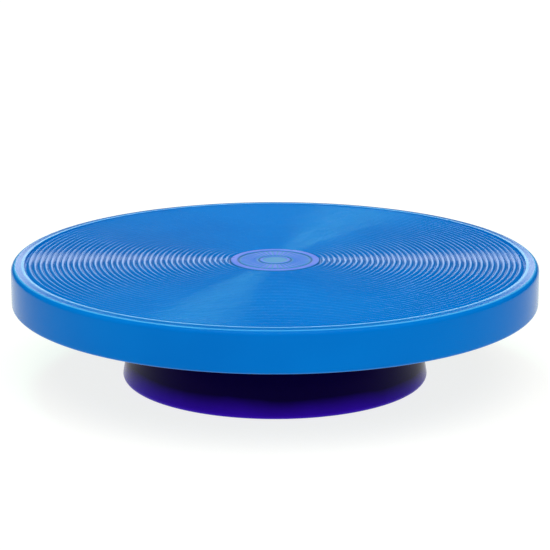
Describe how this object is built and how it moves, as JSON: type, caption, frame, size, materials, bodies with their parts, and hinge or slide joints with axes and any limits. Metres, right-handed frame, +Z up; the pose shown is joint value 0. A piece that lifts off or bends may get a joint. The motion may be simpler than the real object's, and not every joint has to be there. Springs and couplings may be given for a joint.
{
  "type": "balance platform",
  "caption": "Round balance platform for exercise: a ribbed blue deck that tilts and turns on a ball pivot, levelled by a soft rubber ring in a flat-footed violet base.",
  "frame": {"origin": "on the floor, on the upright axis through the middle of the base", "axes": "+Z up along the spindle; X and Y are the two level tilt axes of the deck at rest"},
  "size_m": [0.4, 0.4, 0.092],
  "materials": {
    "deck_blue": "satin moulded plastic with fine concentric ribs",
    "badge_blue": "satin inlay with a raised ring pattern",
    "base_violet": "glossy moulded plastic",
    "cover_black": "fine grained moulded plastic",
    "foot_rubber": "matt non-slip rubber",
    "cushion_rubber": "soft matt cellular rubber",
    "bright_steel": "bright turned steel",
    "cast_alloy": "satin cast alloy",
    "bearing_bronze": "plain turned bearing bronze",
    "white_nylon": "plain moulded nylon"
  },
  "bodies": {
    "base": {"base_shell": "base_violet", "base_plate": "cover_black", "base_foot_1": "foot_rubber", "base_foot_2": "foot_rubber", "base_foot_3": "foot_rubber", "base_foot_4": "foot_rubber", "base_foot_5": "foot_rubber", "base_foot_6": "foot_rubber", "plate_screw_1": "bright_steel", "plate_screw_2": "bright_steel", "plate_screw_3": "bright_steel", "plate_screw_4": "bright_steel", "plate_screw_5": "bright_steel", "plate_screw_6": "bright_steel", "bearing_housing": "cast_alloy", "housing_screw_1": "bright_steel", "housing_screw_2": "bright_steel", "housing_screw_3": "bright_steel", "housing_screw_4": "bright_steel", "sleeve_bush": "bearing_bronze", "glide_ring": "white_nylon"},
    "spindle": {"ball_stud": "bright_steel", "turntable": "cast_alloy", "cushion_ring": "cushion_rubber", "thrust_washer": "bearing_bronze", "retaining_washer": "bright_steel", "lock_nut": "bright_steel"},
    "liner": {"socket_liner": "white_nylon"},
    "platform": {"deck": "deck_blue", "centre_badge": "badge_blue", "socket_housing": "cast_alloy", "clamp_ring": "cast_alloy", "clamp_screw_1": "bright_steel", "clamp_screw_2": "bright_steel", "clamp_screw_3": "bright_steel", "clamp_screw_4": "bright_steel", "clamp_screw_5": "bright_steel", "clamp_screw_6": "bright_steel"}
  },
  "joints": [
    {"name": "turn", "type": "hinge", "parent": "base", "child": "spindle", "pos_m": [0, 0, 0], "axis": [0, 0, 1], "continuous": true},
    {"name": "tilt_x", "type": "hinge", "parent": "spindle", "child": "liner", "pos_m": [0, 0, 0.0576], "axis": [1, 0, 0], "range_deg": [-10, 10], "stiffness_Nm_per_rad": 110, "deforming": ["cushion_ring"]},
    {"name": "tilt_y", "type": "hinge", "parent": "liner", "child": "platform", "pos_m": [0, 0, 0.0576], "axis": [0, 1, 0], "range_deg": [-10, 10], "stiffness_Nm_per_rad": 110, "deforming": ["cushion_ring"]}
  ]
}
